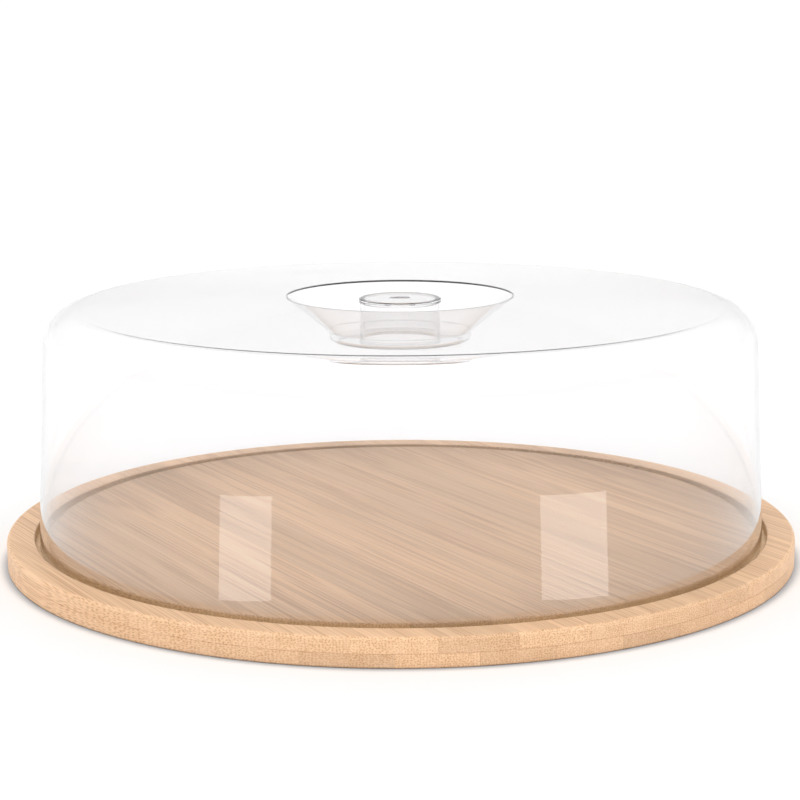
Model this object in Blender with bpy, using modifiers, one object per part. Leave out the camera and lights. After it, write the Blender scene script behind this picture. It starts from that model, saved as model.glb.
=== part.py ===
"""Round bamboo cake board with a clear lift-off dome.

The board is laid up from two plies of flat bamboo staves. All the staves run one way,
and the glue joints of one ply lie over the middle of the staves in the other. A ring
groove in the top takes the foot of the dome. The dome is one moulded shell: a drafted
wall, a round shoulder, a nearly flat crown, and a conical grip recess whose hollow knob
stands up in the middle.

Metres, +Z up. The origin is on the table, on the axis of the board and the dome.
"""

import math

import bmesh
import bpy
from mathutils import Vector

# Dome
DOME_FOOT_RADIUS = 0.1517  # outside, at the lower edge
DOME_HEIGHT = 0.0999  # lower edge to the rim of the grip recess, the highest point
DOME_WALL = 0.0012
WALL_DRAFT = math.radians(2.6)
SHOULDER_RADIUS = 0.0150  # outside fillet between wall and crown
CROWN_RISE = 0.0030  # from the shoulder's corner in to the recess rim
FOOT_ROUNDING = 0.0004

# Grip recess in the crown
RECESS_RIM_RADIUS = 0.0470
RECESS_DEPTH = 0.0183
RECESS_FLOOR_RADIUS = 0.0284
RECESS_WALL_HEIGHT = 0.0033  # steep part, between floor and cone
RECESS_WALL_FLARE = 0.0004
RIM_ROUNDING = 0.0014
CREASE_INSET = 0.0074  # from the rim in to the faint ridge that runs round the cone
CREASE_RISE = 0.0003
FLOOR_ROUNDING = 0.0010

# Knob
KNOB_RADIUS = 0.0171
KNOB_DROP = 0.0011  # knob top below the recess rim
KNOB_LIP_HEIGHT = 0.0020
KNOB_NECK_INSET = 0.0007  # neck inside the lip
KNOB_FLARE = 0.0005  # neck widens by this much towards its root
KNOB_ROUNDING = 0.0005
GATE_MARK_RADIUS = 0.0043  # shallow round mark in the middle of the knob
GATE_MARK_DEPTH = 0.0004

# Board
RIM_WIDTH = 0.0115  # outside the groove
UPPER_PLY_THICKNESS = 0.0059
LOWER_PLY_THICKNESS = 0.0052
STAVES_PER_PLY = 13  # alike, but for the two that the rim cuts down
FIRST_STAVE_WIDTH = 0.0130  # of the upper ply, where the numbering starts
LAST_STAVE_WIDTH = 0.0200  # of the upper ply, at the far side
GRAIN_TURN = math.radians(30)  # staves run along Y, turned by this much about Z
GROOVE_DEPTH = 0.0035
TOP_EDGE_ROUNDING = 0.0016
BOTTOM_EDGE_ROUNDING = 0.0008

# Fits
FOOT_PLAY_OUTSIDE = 0.0018  # dome foot to the groove's outer wall
FOOT_PLAY_INSIDE = 0.0031  # and to its inner wall
GLUE_LINE = 0.0003  # between staves, and between the plies
REST_GAP = 0.0003  # under the dome foot

# Facets
ROUND_SIDES = 80
ARC_TOLERANCE = 0.00015  # most that a facet of a rounded corner leaves its arc
EDGE_SEGMENTS = 3
OVERCUT = 0.004  # how far a cutter runs past what it cuts
SHARP_ANGLE = math.radians(35)

GROOVE_OUTER_RADIUS = DOME_FOOT_RADIUS + FOOT_PLAY_OUTSIDE
GROOVE_INNER_RADIUS = DOME_FOOT_RADIUS - DOME_WALL - FOOT_PLAY_INSIDE
BOARD_RADIUS = GROOVE_OUTER_RADIUS + RIM_WIDTH
UPPER_PLY_BOTTOM = LOWER_PLY_THICKNESS + GLUE_LINE
BOARD_TOP = UPPER_PLY_BOTTOM + UPPER_PLY_THICKNESS
GROOVE_FLOOR = BOARD_TOP - GROOVE_DEPTH
STAVE_WIDTH = (2 * BOARD_RADIUS - FIRST_STAVE_WIDTH - LAST_STAVE_WIDTH) / (STAVES_PER_PLY - 2)
UPPER_FIRST_JOINT = FIRST_STAVE_WIDTH - BOARD_RADIUS
LOWER_FIRST_JOINT = UPPER_FIRST_JOINT + STAVE_WIDTH / 2
BAMBOO = (0.78, 0.55, 0.33, 1.0)
BAMBOO_TONES = (1.00, 0.93, 1.03, 0.97, 0.90)
CLEAR_PLASTIC = (0.93, 0.93, 0.95, 1.0)


def clear_scene():
    for obj in list(bpy.data.objects):
        bpy.data.objects.remove(obj, do_unlink=True)


def new_collection(name):
    collection = bpy.data.collections.new(name)
    bpy.context.scene.collection.children.link(collection)
    return collection


def new_object(name, mesh, collection):
    obj = bpy.data.objects.new(name, mesh)
    collection.objects.link(obj)
    return obj


def as_cutter(obj):
    obj.hide_render = True
    obj.display_type = "WIRE"
    return obj


def plain_material(name, colour, roughness, transmission=0.0):
    material = bpy.data.materials.new(name)
    material.use_nodes = True
    shader = material.node_tree.nodes["Principled BSDF"]
    shader.inputs["Base Color"].default_value = colour
    shader.inputs["Roughness"].default_value = roughness
    shader.inputs["Metallic"].default_value = 0.0
    shader.inputs["Transmission Weight"].default_value = transmission
    return material


def arc_points(before, corner, after, radius):
    """Points of the arc that rounds one corner, from the side of before to that of after."""
    to_before = (before - corner).normalized()
    to_after = (after - corner).normalized()
    opening = to_before.angle(to_after)
    centre = corner + (to_before + to_after).normalized() * radius / math.sin(opening / 2)
    start = corner + to_before * radius / math.tan(opening / 2) - centre
    sweep = math.pi - opening
    facet = 2 * math.acos(max(0.0, 1 - ARC_TOLERANCE / radius))
    steps = max(1, math.ceil(sweep / facet))
    turn = math.copysign(sweep / steps, to_after.cross(to_before))
    points = []
    for step in range(steps + 1):
        cosine = math.cos(step * turn)
        sine = math.sin(step * turn)
        spoke = Vector((start.x * cosine - start.y * sine, start.x * sine + start.y * cosine))
        points.append(centre + spoke)
    return points


def rounded(corners):
    """Outline through corners given as (radius, height, rounding), ends left as they are."""
    places = [Vector(corner[:2]) for corner in corners]
    points = [places[0]]
    for index in range(1, len(corners) - 1):
        rounding = corners[index][2]
        if rounding > 0:
            points += arc_points(*places[index - 1 : index + 2], rounding)
        else:
            points.append(places[index])
    points.append(places[-1])
    return points


def offset_inwards(corners, distance):
    """Corners of the parallel outline on the right of the given one, ends kept on its sides."""
    places = [Vector(corner[:2]) for corner in corners]
    heads = [(b - a).normalized() for a, b in zip(places, places[1:])]
    normals = [Vector((head.y, -head.x)) for head in heads]
    moved = [places[0] + normals[0] * distance]
    for index in range(1, len(places) - 1):
        halfway = (normals[index - 1] + normals[index]).normalized()
        moved.append(places[index] + halfway * distance / halfway.dot(normals[index]))
    moved.append(places[-1] + normals[-1] * distance)
    roundings = [0.0]
    for index in range(1, len(places) - 1):
        rounding = corners[index][2]
        outside = heads[index].cross(heads[index - 1]) > 0
        inner = rounding - distance if outside else rounding + distance
        roundings.append(max(inner, 0.0) if rounding > 0 else 0.0)
    roundings.append(0.0)
    return [(place.x, place.y, rounding) for place, rounding in zip(moved, roundings)]


def turned(name, outline, collection, closed=False):
    """Solid of revolution about Z of an outline that runs down its outer side."""
    mesh = bpy.data.meshes.new(name)
    work = bmesh.new()
    verts = [work.verts.new((point[0], 0.0, point[1])) for point in outline]
    for first, second in zip(verts, verts[1:]):
        work.edges.new((first, second))
    if closed:
        work.edges.new((verts[-1], verts[0]))
    work.to_mesh(mesh)
    work.free()
    obj = new_object(name, mesh, collection)
    screw = obj.modifiers.new("turn", "SCREW")
    screw.axis = "Z"
    screw.angle = math.tau
    screw.steps = ROUND_SIDES
    screw.render_steps = ROUND_SIDES
    screw.use_merge_vertices = True
    screw.merge_threshold = 0.00001
    screw.use_smooth_shade = True
    return obj


def shade(obj):
    obj.data.shade_smooth()
    obj.data.set_sharp_from_angle(angle=SHARP_ANGLE)


def dome_corners():
    """Outside of the shell from the axis to the foot, with the foot at height 0.

    The first list is the plain outline that the inside follows. The second adds the
    lip of the knob and the gate mark, which the outside alone has.
    """
    knob_top = DOME_HEIGHT - KNOB_DROP
    floor = DOME_HEIGHT - RECESS_DEPTH
    neck_radius = KNOB_RADIUS - KNOB_NECK_INSET
    lip_bottom = knob_top - KNOB_LIP_HEIGHT
    cone_foot_radius = RECESS_FLOOR_RADIUS + RECESS_WALL_FLARE
    cone_foot = floor + RECESS_WALL_HEIGHT
    cone_slope = (DOME_HEIGHT - cone_foot) / (RECESS_RIM_RADIUS - cone_foot_radius)
    crease = DOME_HEIGHT - CREASE_INSET * cone_slope + CREASE_RISE
    shoulder = DOME_HEIGHT - CROWN_RISE
    shoulder_corner_radius = DOME_FOOT_RADIUS - shoulder * math.tan(WALL_DRAFT)
    outer_part = [
        (neck_radius + KNOB_FLARE, floor, FLOOR_ROUNDING),
        (RECESS_FLOOR_RADIUS, floor, FLOOR_ROUNDING),
        (cone_foot_radius, cone_foot, FLOOR_ROUNDING),
        (RECESS_RIM_RADIUS - CREASE_INSET, crease, 0.0),
        (RECESS_RIM_RADIUS, DOME_HEIGHT, RIM_ROUNDING),
        (shoulder_corner_radius, shoulder, SHOULDER_RADIUS),
        (DOME_FOOT_RADIUS, 0.0, FOOT_ROUNDING),
    ]
    plain = [(0.0, knob_top, 0.0), (neck_radius, knob_top, DOME_WALL + KNOB_ROUNDING)] + outer_part
    detailed = [
        (0.0, knob_top - GATE_MARK_DEPTH, 0.0),
        (GATE_MARK_RADIUS, knob_top - GATE_MARK_DEPTH, 0.0),
        (GATE_MARK_RADIUS, knob_top, 0.0),
        (KNOB_RADIUS, knob_top, KNOB_ROUNDING),
        (KNOB_RADIUS, lip_bottom, KNOB_ROUNDING),
        (neck_radius, lip_bottom, 0.0),
    ] + outer_part
    return plain, detailed


def make_dome(collection):
    plain, detailed = dome_corners()
    inside = offset_inwards(plain, DOME_WALL)
    foot_inner_radius = DOME_FOOT_RADIUS - DOME_WALL
    inside[0] = (0.0, inside[0][1], 0.0)
    inside[-1] = (foot_inner_radius, 0.0, FOOT_ROUNDING)
    dome = turned("dome", rounded(detailed + inside[::-1]), collection)
    dome.location.z = GROOVE_FLOOR + REST_GAP
    dome.data.materials.append(plain_material("clear_plastic", CLEAR_PLASTIC, 0.03, 1.0))
    shade(dome)
    return dome


def make_ply_form(name, bottom, thickness, top_rounding, bottom_rounding, cutters):
    """Whole round ply, which the staves are cut to."""
    mesh = bpy.data.meshes.new(name)
    work = bmesh.new()
    bmesh.ops.create_cone(
        work,
        cap_ends=True,
        segments=ROUND_SIDES,
        radius1=BOARD_RADIUS,
        radius2=BOARD_RADIUS,
        depth=thickness,
    )
    for side, rounding in ((1, top_rounding), (-1, bottom_rounding)):
        if rounding == 0:
            continue
        height = side * thickness / 2
        edge = [e for e in work.edges if all(abs(v.co.z - height) < 1e-6 for v in e.verts)]
        bmesh.ops.bevel(
            work,
            geom=edge,
            offset=rounding,
            segments=EDGE_SEGMENTS,
            profile=0.5,
            affect="EDGES",
            material=-1,
        )
    work.to_mesh(mesh)
    work.free()
    form = new_object(name, mesh, cutters)
    form.location.z = bottom + thickness / 2
    return as_cutter(form)


def make_groove_cutter(cutters):
    outline = [
        (GROOVE_OUTER_RADIUS, BOARD_TOP + OVERCUT),
        (GROOVE_OUTER_RADIUS, GROOVE_FLOOR),
        (GROOVE_INNER_RADIUS, GROOVE_FLOOR),
        (GROOVE_INNER_RADIUS, BOARD_TOP + OVERCUT),
    ]
    return as_cutter(turned("groove_cutter", outline, cutters, closed=True))


def boolean(obj, name, operation, other):
    modifier = obj.modifiers.new(name, "BOOLEAN")
    modifier.operation = operation
    modifier.solver = "EXACT"
    modifier.object = other


def make_stave(name, low, high, bottom, thickness, collection):
    """Straight bar between two joints across the grain, longer and thicker than its ply."""
    mesh = bpy.data.meshes.new(name)
    work = bmesh.new()
    bmesh.ops.create_cube(work, size=1.0)
    size = Vector((high - low - GLUE_LINE, 2 * (BOARD_RADIUS + OVERCUT), thickness + 2 * OVERCUT))
    bmesh.ops.scale(work, vec=size, verts=work.verts)
    work.to_mesh(mesh)
    work.free()
    stave = new_object(name, mesh, collection)
    middle = (low + high) / 2
    stave.rotation_euler.z = GRAIN_TURN
    stave.location = (
        middle * math.cos(GRAIN_TURN),
        middle * math.sin(GRAIN_TURN),
        bottom + thickness / 2,
    )
    return stave


def make_ply(prefix, bottom, thickness, first_joint, form, collection, groove=None):
    """All the staves of one ply, numbered across the grain."""
    rim = BOARD_RADIUS + OVERCUT
    joints = [first_joint + number * STAVE_WIDTH for number in range(STAVES_PER_PLY - 1)]
    edges = [-rim, *joints, rim]
    for number, (low, high) in enumerate(zip(edges, edges[1:]), start=1):
        name = f"{prefix}_stave_{number:02d}"
        stave = make_stave(name, low, high, bottom, thickness, collection)
        boolean(stave, "round", "INTERSECT", form)
        if groove:
            boolean(stave, "groove", "DIFFERENCE", groove)
        tone = BAMBOO_TONES[number % len(BAMBOO_TONES)]
        colour = tuple(channel * tone for channel in BAMBOO[:3]) + (1.0,)
        stave.data.materials.append(plain_material(f"{stave.name}_bamboo", colour, 0.5))
        shade(stave)


def main():
    clear_scene()
    parts = new_collection("cake_stand_dome")
    cutters = new_collection("cutters")
    cutters.hide_render = True
    groove = make_groove_cutter(cutters)
    upper = (UPPER_PLY_BOTTOM, UPPER_PLY_THICKNESS)
    lower = (0, LOWER_PLY_THICKNESS)
    upper_form = make_ply_form("upper_ply_form", *upper, TOP_EDGE_ROUNDING, 0, cutters)
    lower_form = make_ply_form("lower_ply_form", *lower, 0, BOTTOM_EDGE_ROUNDING, cutters)
    make_ply("upper", *upper, UPPER_FIRST_JOINT, upper_form, parts, groove)
    make_ply("lower", *lower, LOWER_FIRST_JOINT, lower_form, parts)
    make_dome(parts)


main()
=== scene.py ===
"""Looks of a round bamboo cake board with a clear lift-off dome.

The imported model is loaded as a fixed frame. Each bamboo stave and the dome then get a
finely made piece of their own, which rides on the same body as the solid it stands for.
Metres, +Z up, with the origin on the table under the middle of the board.
"""

import logging
import math
from dataclasses import dataclass, field
from enum import Enum
from typing import Any

import bmesh
import bpy
from mathutils import Matrix, Vector


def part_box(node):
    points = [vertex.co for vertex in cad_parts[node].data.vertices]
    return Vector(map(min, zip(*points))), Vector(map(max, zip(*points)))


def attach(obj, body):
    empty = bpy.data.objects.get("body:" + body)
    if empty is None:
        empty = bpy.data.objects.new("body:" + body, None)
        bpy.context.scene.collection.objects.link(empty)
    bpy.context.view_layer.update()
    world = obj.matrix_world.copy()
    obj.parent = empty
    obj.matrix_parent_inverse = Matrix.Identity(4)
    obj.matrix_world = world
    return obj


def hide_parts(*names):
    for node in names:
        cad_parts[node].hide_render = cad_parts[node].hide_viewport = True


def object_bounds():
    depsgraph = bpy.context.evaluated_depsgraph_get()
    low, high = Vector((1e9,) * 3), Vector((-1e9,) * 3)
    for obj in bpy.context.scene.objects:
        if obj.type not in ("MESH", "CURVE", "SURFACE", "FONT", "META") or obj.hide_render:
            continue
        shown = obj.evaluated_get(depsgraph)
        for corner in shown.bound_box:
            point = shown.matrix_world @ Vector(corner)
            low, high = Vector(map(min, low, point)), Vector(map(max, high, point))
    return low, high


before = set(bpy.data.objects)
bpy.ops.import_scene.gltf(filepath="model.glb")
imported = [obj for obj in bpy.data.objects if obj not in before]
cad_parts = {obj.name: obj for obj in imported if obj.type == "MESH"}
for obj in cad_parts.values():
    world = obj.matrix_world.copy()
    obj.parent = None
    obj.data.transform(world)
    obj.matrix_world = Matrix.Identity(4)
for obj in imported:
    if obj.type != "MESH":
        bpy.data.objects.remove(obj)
CAD_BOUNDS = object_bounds()

LOG = logging.getLogger("cake_stand_dome")
FLAT_COSINE = 0.99999  # of the angle between a face's normal and the way it faces
SHARP_ANGLE = math.radians(40)
MERGE_DISTANCE = 1e-6
GRAIN_TURN = math.radians(30)  # the staves run along Y, turned by this much about Z


class Body(Enum):
    """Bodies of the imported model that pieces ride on."""

    BOARD = "board"
    DOME = "dome"


class Slot(Enum):
    """Material slots of the record."""

    BAMBOO = "bamboo"
    CLEAR_PLASTIC = "clear_plastic"


@dataclass(frozen=True)
class Corner:
    """One corner of an outline that is turned about Z.

    Attributes:
        radius: Distance from the axis.
        height: Height in the outline's own frame.
        rounding: Radius of the fillet at this corner, 0 for a sharp one.
    """

    radius: float
    height: float
    rounding: float = 0.0

    @property
    def place(self) -> Vector:
        """The corner's place in the plane of radius and height."""
        return Vector((self.radius, self.height))


def tangent_length(before: Corner, corner: Corner, after: Corner) -> float:
    """Length that a fillet takes from each side of its corner.

    Args:
        before: The corner before it.
        corner: The rounded corner.
        after: The corner after it.

    Returns:
        The distance from the corner to either end of its fillet.
    """
    opening = (before.place - corner.place).angle(after.place - corner.place)
    return corner.rounding / math.tan(opening / 2)


def turned(corners: list[Corner], steps: int, fillet_segments: int) -> bmesh.types.BMesh:
    """Turns an outline about Z into a closed solid.

    Args:
        corners: The outline, with both ends on the axis.
        steps: Facets round the axis.
        fillet_segments: Facets of each rounded corner.

    Returns:
        The solid, with its faces outwards.
    """
    work = bmesh.new()
    verts = [work.verts.new((corner.radius, 0.0, corner.height)) for corner in corners]
    for first, second in zip(verts, verts[1:]):
        work.edges.new((first, second))
    for index in range(1, len(corners) - 1):
        if corners[index].rounding > 0:
            bmesh.ops.bevel(
                work,
                geom=[verts[index]],
                offset=tangent_length(*corners[index - 1 : index + 2]),
                segments=fillet_segments,
                profile=0.5,
                affect="VERTICES",
                material=-1,
            )
    bmesh.ops.spin(
        work,
        geom=work.verts[:] + work.edges[:],
        cent=(0, 0, 0),
        axis=(0, 0, 1),
        dvec=(0, 0, 0),
        angle=math.tau,
        steps=steps,
        use_merge=True,
        use_duplicate=False,
    )
    bmesh.ops.remove_doubles(work, verts=work.verts[:], dist=MERGE_DISTANCE)
    bmesh.ops.recalc_face_normals(work, faces=work.faces[:])
    return work


def finished(name: str, work: bmesh.types.BMesh, material: bpy.types.Material) -> bpy.types.Object:
    """Makes an object of a finished mesh, smooth but for its sharp edges.

    Args:
        name: Name of the piece.
        work: Its mesh, which is freed.
        material: Its finish.

    Returns:
        The object, at the origin.
    """
    mesh = bpy.data.meshes.new(name)
    work.to_mesh(mesh)
    work.free()
    mesh.materials.append(material)
    mesh.shade_smooth()
    mesh.set_sharp_from_angle(angle=SHARP_ANGLE)
    piece = bpy.data.objects.new(name, mesh)
    bpy.context.scene.collection.objects.link(piece)
    flatten = piece.modifiers.new("flat_faces_stay_flat", "WEIGHTED_NORMAL")
    flatten.keep_sharp = True
    return piece


def stand_for(piece: bpy.types.Object, node: str, body: Body) -> None:
    """Hangs a piece on its body in place of one solid of the frame.

    Args:
        piece: The finished piece.
        node: The solid it replaces.
        body: The body it moves with.
    """
    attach(piece, body.value)
    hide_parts(node)
    triangles = sum(len(polygon.vertices) - 2 for polygon in piece.data.polygons)
    LOG.info("%s stands for %s, %d triangles", piece.name, node, triangles)


class Nodes:
    """A material's node tree with the few steps that the finishes repeat."""

    def __init__(self, tree: bpy.types.NodeTree) -> None:
        """Starts on an existing tree."""
        self.tree = tree

    def add(self, kind: str, inputs: dict[Any, Any] | None = None, **settings: Any) -> bpy.types.Node:
        """Adds a node.

        Args:
            kind: The node's type.
            inputs: Values or output sockets for its inputs, by name or number.
            settings: Its own properties.

        Returns:
            The node.
        """
        node = self.tree.nodes.new(kind)
        for name, value in settings.items():
            setattr(node, name, value)
        for key, value in (inputs or {}).items():
            if isinstance(value, bpy.types.NodeSocket):
                self.tree.links.new(value, node.inputs[key])
            else:
                node.inputs[key].default_value = value
        return node

    def math(self, operation: str, first: Any, second: Any = 0.0) -> bpy.types.NodeSocket:
        """Adds one step of arithmetic and returns its result."""
        return self.add("ShaderNodeMath", {0: first, 1: second}, operation=operation).outputs[0]

    def vector(self, operation: str, first: Any, second: Any) -> bpy.types.NodeSocket:
        """Adds one step of vector arithmetic and returns its result."""
        return self.add("ShaderNodeVectorMath", {0: first, 1: second}, operation=operation).outputs[0]

    def spread(self, value: Any, low: float, high: float, to_low: float, to_high: float) -> Any:
        """Maps a range of values smoothly onto another.

        Args:
            value: The socket to map.
            low: Start of its range.
            high: End of its range.
            to_low: Result at the start.
            to_high: Result at the end.

        Returns:
            The mapped socket.
        """
        inputs = {"Value": value, 1: low, 2: high, 3: to_low, 4: to_high}
        node = self.add("ShaderNodeMapRange", inputs, interpolation_type="SMOOTHSTEP")
        return node.outputs["Result"]

    def mix(self, share: Any, first: Any, second: Any, blend: str = "MIX") -> bpy.types.NodeSocket:
        """Mixes two colours.

        Args:
            share: How much of the second shows, as a value or a socket.
            first: The colour below.
            second: The colour above.
            blend: How they combine.

        Returns:
            The mixed colour.
        """
        node = self.add("ShaderNodeMix", {0: share, 6: first, 7: second}, data_type="RGBA", blend_type=blend)
        return node.outputs[2]


def new_material(name: str) -> tuple[bpy.types.Material, Nodes, bpy.types.Node]:
    """Starts a material.

    Args:
        name: Its name.

    Returns:
        The material, its nodes and its Principled shader.
    """
    material = bpy.data.materials.new(name)
    material.use_nodes = True
    return material, Nodes(material.node_tree), material.node_tree.nodes["Principled BSDF"]


def rgba(red: float, green: float, blue: float) -> tuple[float, float, float, float]:
    """A solid colour from linear values."""
    return (red, green, blue, 1.0)


@dataclass(frozen=True)
class BambooFinish:
    """Light bamboo under a thin satin varnish, with fibre bundles that run along the staves.

    Cut along, the bundles show as fine dark lines, and cut across, as dots on the rim. The
    attributes stave_tone and stave_seed of a mesh set its tone and shift its grain. Sizes of
    a grain are across, along and through the stave.

    Attributes:
        pale: Colour of the lighter streaks.
        deep: Colour of the deeper streaks.
        bundle: Colour of the fibre bundles.
        thread_dark: Factor on the darker of the fine threads between them.
        thread_light: Factor on the lighter ones.
        streak_size: Grain of the broad streaks.
        fibre_size: Grain of the fine threads.
        bundle_pitch: Distance between bundles across and through the stave.
        bundle_scatter: How far bundles stray from even rows, from 0 to 1.
        bundle_edge: Distances from a bundle's middle, in pitches, at which it starts to fade
            and has faded out.
        sway_size: Grain of the bundles' slow rise and fall along the stave.
        sway_reach: How far they rise and fall.
        bundle_share: How strongly the bundles show.
        roughness: Middle roughness of the varnish.
        gloss: Its specular level.
        relief: Height of the grain under the varnish.
        groove_radius: Radius of the middle of the board's groove.
        groove_reach: Distance from there over which the painted light in the groove shows.
        groove_top: Height below which it shows.
        groove_painted_light: Factor that lightens the colour in the groove, painted light that makes up for
            the shade there.
        seed_shift: How far a seed of 1 shifts the grain along its stave, in metres.
    """

    pale: tuple[float, float, float, float] = rgba(0.930, 0.620, 0.385)
    deep: tuple[float, float, float, float] = rgba(0.885, 0.572, 0.340)
    bundle: tuple[float, float, float, float] = rgba(0.430, 0.190, 0.075)
    thread_dark: tuple[float, float, float, float] = rgba(0.90, 0.84, 0.78)
    thread_light: tuple[float, float, float, float] = rgba(1.03, 1.04, 1.05)
    streak_size: tuple[float, float, float] = (0.0060, 0.50, 0.0060)
    fibre_size: tuple[float, float, float] = (0.00055, 0.200, 0.00055)
    bundle_pitch: tuple[float, float] = (0.00095, 0.00085)
    bundle_scatter: float = 0.60
    bundle_edge: tuple[float, float] = (0.10, 0.38)
    sway_size: tuple[float, float, float] = (0.012, 0.110, 0.006)
    sway_reach: float = 0.0022
    bundle_share: float = 0.56
    roughness: float = 0.44
    gloss: float = 0.30
    relief: float = 0.00005
    groove_radius: float = 0.15045
    groove_reach: float = 0.0034
    groove_top: float = 0.0112
    groove_painted_light: tuple[float, float, float, float] = rgba(1.05, 1.05 * 1.08, 1.05 * 1.04)
    seed_shift: float = 3.1

    def stretched(self, nodes: Nodes, place: Any, size: tuple[float, float, float]) -> Any:
        """Object space measured in grains of the given size.

        Args:
            nodes: The material's nodes.
            place: The place in the stave's own directions.
            size: Size of a grain across, along and through the stave.

        Returns:
            The stretched place.
        """
        scale = tuple(1.0 / length for length in size)
        return nodes.vector("MULTIPLY", place, scale)

    def make(self) -> bpy.types.Material:
        """Builds the material and returns it."""
        material, nodes, shader = new_material("satin_bamboo")
        place = nodes.add("ShaderNodeTexCoord").outputs["Object"]
        seed = nodes.add("ShaderNodeAttribute", attribute_name="stave_seed").outputs["Fac"]
        tone = nodes.add("ShaderNodeAttribute", attribute_name="stave_tone").outputs["Fac"]
        turn = {"Vector": place, "Rotation": (0.0, 0.0, -GRAIN_TURN)}
        along = nodes.add("ShaderNodeMapping", turn).outputs[0]
        shift = {1: nodes.math("MULTIPLY", seed, self.seed_shift), 2: seed}
        grain = nodes.vector("ADD", along, nodes.add("ShaderNodeCombineXYZ", shift).outputs[0])

        def noise(size: tuple[float, float, float], detail: float) -> Any:
            """A stretched noise of the given grain."""
            inputs = {"Vector": self.stretched(nodes, grain, size), "Scale": 1.0, "Detail": detail}
            return nodes.add("ShaderNodeTexNoise", inputs).outputs["Fac"]

        streaks = noise(self.streak_size, 2.0)
        fibres = noise(self.fibre_size, 2.0)
        sway = nodes.math("MULTIPLY", noise(self.sway_size, 1.0), self.sway_reach)
        section = nodes.add("ShaderNodeSeparateXYZ", {0: grain})
        across = nodes.math("DIVIDE", section.outputs["X"], self.bundle_pitch[0])
        through = nodes.math("DIVIDE", nodes.math("ADD", section.outputs["Z"], sway), self.bundle_pitch[1])
        spot = nodes.add("ShaderNodeCombineXYZ", {0: across, 1: through}).outputs[0]
        inputs = {"Vector": spot, "Scale": 1.0, "Randomness": self.bundle_scatter}
        cells = nodes.add("ShaderNodeTexVoronoi", inputs, feature="F1", voronoi_dimensions="2D")
        near = nodes.spread(cells.outputs["Distance"], *self.bundle_edge, 1.0, 0.0)
        uneven = nodes.spread(streaks, 0.30, 0.62, 0.55, 1.0)
        dots = nodes.math("MULTIPLY", near, uneven)

        colour = nodes.mix(nodes.spread(streaks, 0.25, 0.75, 0.0, 1.0), self.pale, self.deep)
        threads = nodes.mix(nodes.spread(fibres, 0.34, 0.62, 0.0, 1.0), self.thread_dark, self.thread_light)
        colour = nodes.mix(1.0, colour, threads, "MULTIPLY")
        shade = nodes.add("ShaderNodeCombineColor", {0: tone, 1: tone, 2: tone}).outputs[0]
        colour = nodes.mix(1.0, colour, shade, "MULTIPLY")
        colour = nodes.mix(nodes.math("MULTIPLY", dots, self.bundle_share), colour, self.bundle)

        # Painted light: the groove's walls and floor are lightened to make up for the shade that falls in
        # them.
        level = nodes.add("ShaderNodeSeparateXYZ", {0: place})
        flat = nodes.vector("MULTIPLY", place, (1.0, 1.0, 0.0))
        radius = nodes.add("ShaderNodeVectorMath", {0: flat}, operation="LENGTH").outputs["Value"]
        away = nodes.math("ABSOLUTE", nodes.math("SUBTRACT", radius, self.groove_radius))
        beside = nodes.spread(away, self.groove_reach, self.groove_reach + 0.0004, 1.0, 0.0)
        below = nodes.spread(level.outputs["Z"], self.groove_top - 0.001, self.groove_top, 1.0, 0.0)
        cut = nodes.math("MULTIPLY", beside, below)
        colour = nodes.mix(cut, colour, nodes.mix(1.0, colour, self.groove_painted_light, "MULTIPLY"))
        nodes.tree.links.new(colour, shader.inputs["Base Color"])

        shader.inputs["Specular IOR Level"].default_value = self.gloss
        rough = nodes.spread(fibres, 0.2, 0.8, self.roughness - 0.05, self.roughness + 0.07)
        nodes.tree.links.new(rough, shader.inputs["Roughness"])
        height = nodes.math("SUBTRACT", fibres, nodes.math("MULTIPLY", dots, 0.6))
        bump = nodes.add("ShaderNodeBump", {"Strength": 0.6, "Distance": self.relief, "Height": height})
        nodes.tree.links.new(bump.outputs[0], shader.inputs["Normal"])
        return material


@dataclass(frozen=True)
class ClearPlasticFinish:
    """Clear moulded plastic with a faint tint, slight flow waves and fine rub marks.

    Attributes:
        tint: Its colour.
        clearness: Share of the light that passes, the rest being haze.
        refraction: Its index of refraction.
        polish: Roughness where it is untouched.
        rubbed: Roughness where it is rubbed.
        rub_scale: Rub marks to the metre.
        wave_size: Length of the flow waves.
        wave_depth: Their height.
    """

    tint: tuple[float, float, float, float] = rgba(0.993, 0.990, 0.996)
    clearness: float = 0.992
    refraction: float = 1.48
    polish: float = 0.0
    rubbed: float = 0.008
    rub_scale: float = 90.0
    wave_size: float = 0.055
    wave_depth: float = 0.00012

    def make(self) -> bpy.types.Material:
        """Builds the material and returns it."""
        material, nodes, shader = new_material("clear_plastic")
        place = nodes.add("ShaderNodeTexCoord").outputs["Object"]
        shader.inputs["Base Color"].default_value = self.tint
        shader.inputs["Transmission Weight"].default_value = self.clearness
        shader.inputs["IOR"].default_value = self.refraction
        inputs = {"Vector": place, "Scale": self.rub_scale, "Detail": 4.0}
        rubs = nodes.add("ShaderNodeTexNoise", inputs)
        rough = nodes.spread(rubs.outputs["Fac"], 0.52, 0.78, self.polish, self.rubbed)
        nodes.tree.links.new(rough, shader.inputs["Roughness"])
        inputs = {"Vector": place, "Scale": 1.0 / self.wave_size, "Detail": 1.0}
        waves = nodes.add("ShaderNodeTexNoise", inputs)
        inputs = {"Strength": 0.25, "Distance": self.wave_depth, "Height": waves.outputs["Fac"]}
        bump = nodes.add("ShaderNodeBump", inputs)
        nodes.tree.links.new(bump.outputs[0], shader.inputs["Normal"])
        return material


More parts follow.
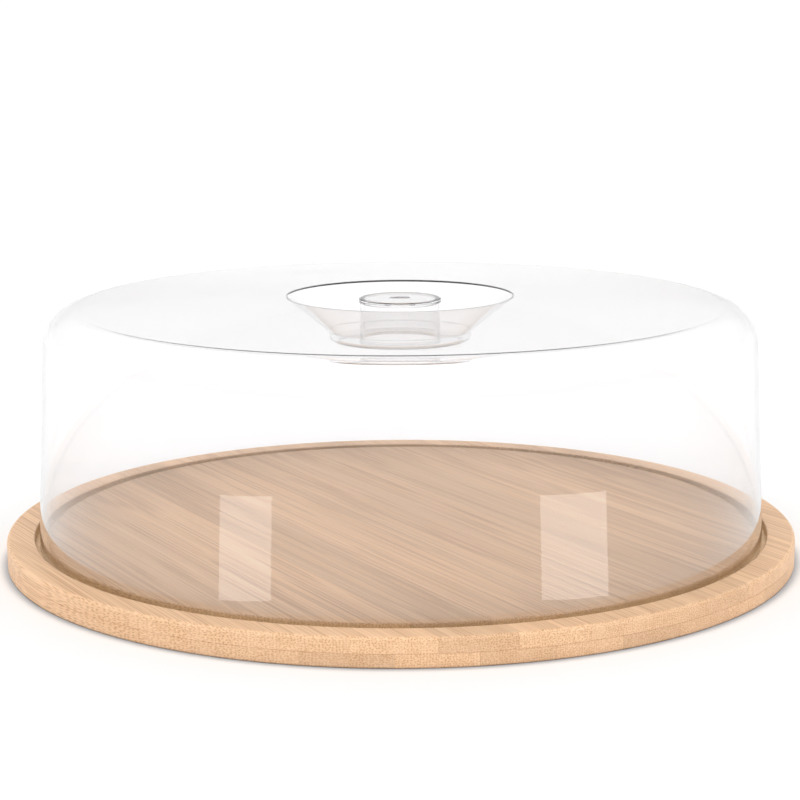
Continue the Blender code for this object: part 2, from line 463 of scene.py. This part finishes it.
@dataclass(frozen=True)
class FloorFinish:
    """Plain white studio paper, with a contact shadow painted into its colour beside what stands on it.

    Attributes:
        colour: Its colour.
        painted_shadow_colour: Colour of the painted shadow right beside what stands on it.
        shade_reach: Distance over which that fades.
        roughness: Its roughness.
        tooth_scale: Grains of its surface to the metre.
    """

    colour: tuple[float, float, float, float] = rgba(0.93, 0.93, 0.93)
    painted_shadow_colour: tuple[float, float, float, float] = rgba(0.49, 0.52, 0.56)
    shade_reach: float = 0.005
    roughness: float = 0.9
    tooth_scale: float = 900.0

    def make(self) -> bpy.types.Material:
        """Builds the material and returns it."""
        material, nodes, shader = new_material("studio_paper")
        place = nodes.add("ShaderNodeTexCoord").outputs["Object"]
        inputs = {"Vector": place, "Scale": self.tooth_scale, "Detail": 3.0}
        tooth = nodes.add("ShaderNodeTexNoise", inputs)
        # Painted shadow: ambient occlusion darkens the paper's colour right beside what stands on it.
        near = nodes.add("ShaderNodeAmbientOcclusion", {"Distance": self.shade_reach}, samples=8)
        share = nodes.spread(near.outputs["AO"], 0.5, 1.0, 1.0, 0.0)
        nodes.tree.links.new(nodes.mix(share, self.colour, self.painted_shadow_colour), shader.inputs["Base Color"])
        shader.inputs["Roughness"].default_value = self.roughness
        shader.inputs["Specular IOR Level"].default_value = 0.1
        inputs = {"Strength": 0.05, "Distance": 0.00002, "Height": tooth.outputs["Fac"]}
        bump = nodes.add("ShaderNodeBump", inputs)
        nodes.tree.links.new(bump.outputs[0], shader.inputs["Normal"])
        return material


@dataclass
class BambooPly:
    """One ply of the board, made as a whole disc and sawn into its staves.

    Attributes:
        prefix: Start of its staves' names in the frame.
        outline: The disc's outline from the axis at its top to the axis at its bottom.
        tones: Brightness of each stave.
        joint: Width of the hairline between two staves.
        eased: Width of the fine chamfer along each joint.
        steps: Facets round the rim.
        fillet_segments: Facets of each rounded edge.
    """

    prefix: str
    outline: list[Corner]
    tones: tuple[float, ...]
    joint: float = 0.00004
    eased: float = 0.00005
    steps: int = 360
    fillet_segments: int = 6

    def nodes(self) -> list[str]:
        """Names of this ply's staves in the frame, in order across the grain."""
        return sorted(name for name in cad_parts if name.startswith(f"{self.prefix}_stave_"))

    def sawn(
        self, disc: bmesh.types.BMesh, low: float | None, high: float | None
    ) -> bmesh.types.BMesh:
        """Cuts one stave out of the whole disc.

        Args:
            disc: The whole ply, which is left as it is.
            low: Place across the grain of its lower joint, or None at the rim.
            high: Place of its upper joint, or None at the rim.

        Returns:
            The stave's closed mesh.
        """
        across = Matrix.Rotation(GRAIN_TURN, 3, "Z") @ Vector((1, 0, 0))
        work = disc.copy()
        for place, side in ((low, -1), (high, 1)):
            if place is None:
                continue
            cut = bmesh.ops.bisect_plane(
                work,
                geom=work.verts[:] + work.edges[:] + work.faces[:],
                dist=MERGE_DISTANCE,
                plane_co=across * (place - side * self.joint / 2),
                plane_no=across * side,
                clear_outer=True,
            )
            edges = [item for item in cut["geom_cut"] if isinstance(item, bmesh.types.BMEdge)]
            bmesh.ops.holes_fill(work, edges=edges, sides=0)
        level = [face for face in work.faces if abs(face.normal.z) > FLAT_COSINE]
        bmesh.ops.dissolve_faces(work, faces=level, use_verts=True)
        walls = [face for face in work.faces if abs(face.normal.dot(across)) > FLAT_COSINE]
        edges = list({edge for face in walls for edge in face.edges})
        bmesh.ops.bevel(
            work,
            geom=edges,
            offset=self.eased,
            segments=1,
            profile=0.5,
            affect="EDGES",
            material=-1,
            clamp_overlap=True,
        )
        bmesh.ops.recalc_face_normals(work, faces=work.faces[:])
        return work

    def build(self, material: bpy.types.Material) -> list[bpy.types.Object]:
        """Makes every stave of the ply.

        Args:
            material: The bamboo finish.

        Returns:
            The staves, in order across the grain.
        """
        across = Matrix.Rotation(GRAIN_TURN, 3, "Z") @ Vector((1, 0, 0))
        names = self.nodes()
        spans = []
        for name in names:
            places = [vertex.co.dot(across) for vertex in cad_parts[name].data.vertices]
            spans.append((min(places), max(places)))
        joints = [(left[1] + right[0]) / 2 for left, right in zip(spans, spans[1:])]
        disc = turned(self.outline, self.steps, self.fillet_segments)
        staves = []
        for index, (name, low, high) in enumerate(zip(names, [None, *joints], [*joints, None])):
            stave = finished(f"bamboo_{name}", self.sawn(disc, low, high), material)
            count = len(stave.data.vertices)
            tone = stave.data.attributes.new("stave_tone", "FLOAT", "POINT")
            tone.data.foreach_set("value", [self.tones[index % len(self.tones)]] * count)
            seed = stave.data.attributes.new("stave_seed", "FLOAT", "POINT")
            seed.data.foreach_set("value", [(index * 0.618 + len(self.prefix) * 0.37) % 1.0] * count)
            stand_for(stave, name, Body.BOARD)
            staves.append(stave)
        disc.free()
        return staves


@dataclass
class BambooBoard:
    """The round board: two plies of staves, with a ring groove for the foot of the dome.

    Attributes:
        radius: The board's radius.
        ply_joint: Height of the glue line between the plies.
        ply_gap: Width of the hairline there.
        groove_inner: Radius of the groove's inner wall.
        groove_outer: Radius of its outer wall.
        groove_depth: Depth below the top.
        top_rounding: Fillet of the upper rim.
        bottom_rounding: Fillet of the lower rim.
        groove_edge_rounding: Fillet of the groove's upper edges.
        groove_floor_rounding: Fillet at the foot of the groove's walls.
        seam_rounding: Fine easing of the rim where the plies meet.
    """

    radius: float = field(default_factory=lambda: CAD_BOUNDS[1][0])
    ply_joint: float = 0.00535
    ply_gap: float = 0.00005
    groove_inner: float = 0.1474
    groove_outer: float = 0.1535
    groove_depth: float = 0.0035
    top_rounding: float = 0.0016
    bottom_rounding: float = 0.0008
    groove_edge_rounding: float = 0.0007
    groove_floor_rounding: float = 0.0005
    seam_rounding: float = 0.00012

    def upper_ply(self) -> BambooPly:
        """The upper ply, with the groove turned into its top."""
        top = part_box("upper_stave_07")[1][2]
        bottom = self.ply_joint + self.ply_gap / 2
        floor = top - self.groove_depth
        outline = [
            Corner(0.0, top),
            Corner(self.groove_inner, top, self.groove_edge_rounding),
            Corner(self.groove_inner, floor, self.groove_floor_rounding),
            Corner(self.groove_outer, floor, self.groove_floor_rounding),
            Corner(self.groove_outer, top, self.groove_edge_rounding),
            Corner(self.radius, top, self.top_rounding),
            Corner(self.radius, bottom, self.seam_rounding),
            Corner(0.0, bottom),
        ]
        tones = (0.98, 0.99, 1.00, 1.04, 0.92, 1.03, 0.97, 0.95, 0.91, 0.98, 1.02, 0.95, 1.00)
        return BambooPly("upper", outline, tones)

    def lower_ply(self) -> BambooPly:
        """The lower ply, a plain disc."""
        top = self.ply_joint - self.ply_gap / 2
        outline = [
            Corner(0.0, top),
            Corner(self.radius, top, self.seam_rounding),
            Corner(self.radius, 0.0, self.bottom_rounding),
            Corner(0.0, 0.0),
        ]
        tones = (0.98, 0.95, 0.88, 1.03, 0.92, 0.98, 0.87, 0.94, 1.00, 0.93, 1.02, 0.96, 0.90)
        return BambooPly("lower", outline, tones)

    def build(self, material: bpy.types.Material) -> None:
        """Makes and dresses all the staves of both plies.

        Args:
            material: The bamboo finish.
        """
        for ply in (self.upper_ply(), self.lower_ply()):
            ply.build(material)


@dataclass
class ClearDome:
    """The moulded dome, whose grip recess and hollow knob are one shell with it.

    Heights of the outline are above the foot.

    Attributes:
        foot_radius: Outer radius at the foot.
        wall: Thickness of the wall, the same all over.
        draft: How far the wall leans in.
        height: Height of the recess's rim, the highest point.
        crown_rise: How far the crown rises from the shoulder to the rim.
        shoulder_rounding: Fillet between wall and crown.
        foot_rounding: Fillet of the foot.
        rim_radius: Radius of the recess's rim.
        rim_rounding: Fillet of that rim.
        recess_depth: Depth of the recess's floor below the rim.
        recess_floor_radius: Radius of that floor.
        recess_wall_height: Height of the short steep wall round it, below the cone.
        recess_wall_flare: How far that wall leans out.
        crease_inset: Distance of the cone's faint ridge inside the rim.
        crease_rise: Height of the ridge above a straight cone.
        floor_rounding: Fillets round the floor.
        knob_radius: Radius of the knob.
        knob_drop: Depth of its top below the rim.
        lip_height: Height of its lip.
        neck_inset: How far the neck stands back from the lip.
        neck_flare: How far the neck widens down to the floor.
        knob_rounding: Fillet of the lip.
        gate_radius: Radius of the gate mark on the knob.
        gate_depth: Its depth.
        gate_rounding: Its fillets.
        steps: Facets round the axis.
        fillet_segments: Facets of each rounded corner.
    """

    foot_radius: float = 0.1517
    wall: float = 0.0012
    draft: float = math.radians(2.6)
    height: float = 0.0999
    crown_rise: float = 0.0030
    shoulder_rounding: float = 0.0150
    foot_rounding: float = 0.0004
    rim_radius: float = 0.0470
    rim_rounding: float = 0.0014
    recess_depth: float = 0.0183
    recess_floor_radius: float = 0.0284
    recess_wall_height: float = 0.0033
    recess_wall_flare: float = 0.0004
    crease_inset: float = 0.0074
    crease_rise: float = 0.0003
    floor_rounding: float = 0.0010
    knob_radius: float = 0.0171
    knob_drop: float = 0.0011
    lip_height: float = 0.0020
    neck_inset: float = 0.0007
    neck_flare: float = 0.0005
    knob_rounding: float = 0.0005
    gate_radius: float = 0.0043
    gate_depth: float = 0.0004
    gate_rounding: float = 0.00015
    steps: int = 320
    fillet_segments: int = 9

    def recess_and_wall(self) -> list[Corner]:
        """The outside from the foot of the knob's neck out to the foot of the dome."""
        floor = self.height - self.recess_depth
        neck = self.knob_radius - self.neck_inset + self.neck_flare
        cone_foot_radius = self.recess_floor_radius + self.recess_wall_flare
        cone_foot = floor + self.recess_wall_height
        slope = (self.height - cone_foot) / (self.rim_radius - cone_foot_radius)
        crease = self.height - self.crease_inset * slope + self.crease_rise
        shoulder = self.height - self.crown_rise
        return [
            Corner(neck, floor, self.floor_rounding),
            Corner(self.recess_floor_radius, floor, self.floor_rounding),
            Corner(cone_foot_radius, cone_foot, self.floor_rounding),
            Corner(self.rim_radius - self.crease_inset, crease),
            Corner(self.rim_radius, self.height, self.rim_rounding),
            Corner(self.foot_radius - shoulder * math.tan(self.draft), shoulder, self.shoulder_rounding),
            Corner(self.foot_radius, 0.0, self.foot_rounding),
        ]

    def inside(self) -> list[Corner]:
        """The inside, one wall away from the outside, from the axis to the foot."""
        top = self.height - self.knob_drop
        neck = self.knob_radius - self.neck_inset
        outside = [Corner(0.0, top), Corner(neck, top, self.wall + self.knob_rounding)]
        outside += self.recess_and_wall()
        heads = [(b.place - a.place).normalized() for a, b in zip(outside, outside[1:])]
        normals = [Vector((head.y, -head.x)) for head in heads]
        moved = [Corner(0.0, top - self.wall)]
        for index in range(1, len(outside) - 1):
            halfway = (normals[index - 1] + normals[index]).normalized()
            place = outside[index].place + halfway * self.wall / halfway.dot(normals[index])
            convex = heads[index].cross(heads[index - 1]) > 0
            change = -self.wall if convex else self.wall
            rounding = outside[index].rounding
            moved.append(Corner(place.x, place.y, max(rounding + change, 0.0) if rounding else 0.0))
        moved.append(Corner(self.foot_radius - self.wall, 0.0, self.foot_rounding))
        return moved

    def outline(self) -> list[Corner]:
        """The whole outline, down the outside and back up the inside."""
        top = self.height - self.knob_drop
        neck = self.knob_radius - self.neck_inset
        lip = top - self.lip_height
        knob = [
            Corner(0.0, top - self.gate_depth),
            Corner(self.gate_radius, top - self.gate_depth, self.gate_rounding),
            Corner(self.gate_radius, top, self.gate_rounding),
            Corner(self.knob_radius, top, self.knob_rounding),
            Corner(self.knob_radius, lip, self.knob_rounding),
            Corner(neck, lip),
        ]
        return knob + self.recess_and_wall() + self.inside()[::-1]

    def build(self, material: bpy.types.Material) -> None:
        """Makes and dresses the dome.

        Args:
            material: The clear plastic finish.
        """
        low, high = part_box("dome")
        work = turned(self.outline(), self.steps, self.fillet_segments)
        tallest = max(vertex.co.z for vertex in work.verts)
        bmesh.ops.scale(work, vec=(1.0, 1.0, (high[2] - low[2]) / tallest), verts=work.verts[:])
        bmesh.ops.translate(work, vec=(0.0, 0.0, low[2]), verts=work.verts[:])
        shell = finished("clear_dome_shell", work, material)
        stand_for(shell, "dome", Body.DOME)


@dataclass(frozen=True)
class MirroredPanel:
    """A small panel beside the camera's line, which shows only in reflections.

    The dome's wall mirrors it as a bright patch.

    Attributes:
        name: Its name.
        place: Place of its middle.
        bearing: How far round from straight behind the camera it stands, to the right if positive.
        size: Its width and height.
        brightness: Its brightness.
    """

    name: str
    place: tuple[float, float, float]
    bearing: float
    size: tuple[float, float]
    brightness: float = 3.6

    def build(self) -> None:
        """Stands the panel, facing the object."""
        lamp = bpy.data.lights.new(self.name, "AREA")
        lamp.shape = "RECTANGLE"
        lamp.size, lamp.size_y = self.size
        lamp.energy = self.brightness * math.pi * lamp.size * lamp.size_y
        light = bpy.data.objects.new(self.name, lamp)
        turn = Matrix.Rotation(self.bearing, 4, "Z") @ Matrix.Rotation(math.pi / 2, 4, "X")
        light.matrix_world = Matrix.Translation(self.place) @ turn
        light.visible_camera = False
        light.visible_diffuse = False
        light.visible_transmission = False
        bpy.context.scene.collection.objects.link(light)


@dataclass
class Studio:
    """White paper, an even white surround, a soft key light and the camera.

    Attributes:
        floor_radius: Radius of the paper.
        horizon: Brightness of the surround where it meets the paper, behind the object.
        ahead: Its brightness a little higher.
        behind: Brightness of the surround behind the camera.
        overhead: Brightness of the surround straight above.
        front_sky: Extra brightness of the broad soft light above the camera.
        front_height: Its direction above the horizon.
        front_edge: Cosine of the angle at which it has faded out.
        panels: The small panels that the dome's wall mirrors.
        camera_place: Place of the camera.
        pitch: How far the camera looks down.
        roll: How far it leans.
        lens: Its focal length in millimetres, on a sensor 36 mm wide.
    """

    floor_radius: float = 30.0
    horizon: float = 1.05
    ahead: float = 0.88
    behind: float = 0.45
    overhead: float = 1.18
    front_sky: float = 0.60
    front_height: float = math.radians(50)
    front_edge: float = 0.50
    panels: tuple[MirroredPanel, ...] = (
        MirroredPanel("right_panel", (0.1168, -0.1780, 0.0237), math.radians(50), (0.051, 0.042)),
        MirroredPanel("left_panel", (-0.1081, -0.1884, 0.0237), math.radians(-50), (0.040, 0.042)),
    )
    camera_place: tuple[float, float, float] = (-0.000155, -0.850, 0.2285)
    pitch: float = 0.1918
    roll: float = -0.0044
    lens: float = 92.52

    def lay_floor(self) -> None:
        """Lays the paper under the object."""
        work = bmesh.new()
        bmesh.ops.create_circle(work, cap_ends=True, segments=64, radius=self.floor_radius)
        floor = finished("studio_floor", work, FloorFinish().make())

    def light_surround(self) -> None:
        """Lights the whole scene from a smooth white surround."""
        world = bpy.data.worlds.new("white_surround")
        world.use_nodes = True
        bpy.context.scene.world = world
        nodes = Nodes(world.node_tree)
        background = world.node_tree.nodes["Background"]
        direction = nodes.add("ShaderNodeTexCoord").outputs["Generated"]
        split = nodes.add("ShaderNodeSeparateXYZ", {0: direction})
        distant = nodes.spread(split.outputs["Z"], 0.03, 0.14, self.horizon, self.ahead)
        level = nodes.spread(split.outputs["Y"], -0.9, 0.5, self.behind, distant)
        above = nodes.spread(split.outputs["Z"], 0.2, 0.9, 0.0, 1.0)
        rest = nodes.math("MULTIPLY", level, nodes.math("SUBTRACT", 1.0, above))
        total = nodes.math("ADD", rest, nodes.math("MULTIPLY", above, self.overhead))
        front = (0.0, -math.cos(self.front_height), math.sin(self.front_height))
        towards = nodes.add("ShaderNodeVectorMath", {0: direction, 1: front}, operation="DOT_PRODUCT")
        glow = nodes.spread(towards.outputs["Value"], self.front_edge, 1.0, 0.0, self.front_sky)
        total = nodes.math("ADD", total, glow)
        background.inputs["Color"].default_value = rgba(1.0, 1.0, 1.0)
        world.node_tree.links.new(total, background.inputs["Strength"])

    def set_camera(self) -> None:
        """Places the camera and makes it the scene's own."""
        data = bpy.data.cameras.new("camera")
        data.sensor_width = 36.0
        data.lens = self.lens
        data.clip_start = 0.01
        data.clip_end = 200.0
        camera = bpy.data.objects.new("camera", data)
        turn = Matrix.Rotation(math.pi / 2 - self.pitch, 4, "X") @ Matrix.Rotation(self.roll, 4, "Z")
        camera.matrix_world = Matrix.Translation(self.camera_place) @ turn
        bpy.context.scene.collection.objects.link(camera)
        bpy.context.scene.camera = camera

    def build(self) -> None:
        """Sets up the whole studio."""
        self.lay_floor()
        self.light_surround()
        for panel in self.panels:
            panel.build()
        self.set_camera()
        bpy.context.scene.view_settings.view_transform = "Standard"


def main() -> None:
    """Builds the studio and every piece."""
    logging.basicConfig(level=logging.INFO, format="%(message)s")
    Studio().build()
    BambooBoard().build(BambooFinish().make())
    ClearDome().build(ClearPlasticFinish().make())


if __name__ == "__main__":
    main()
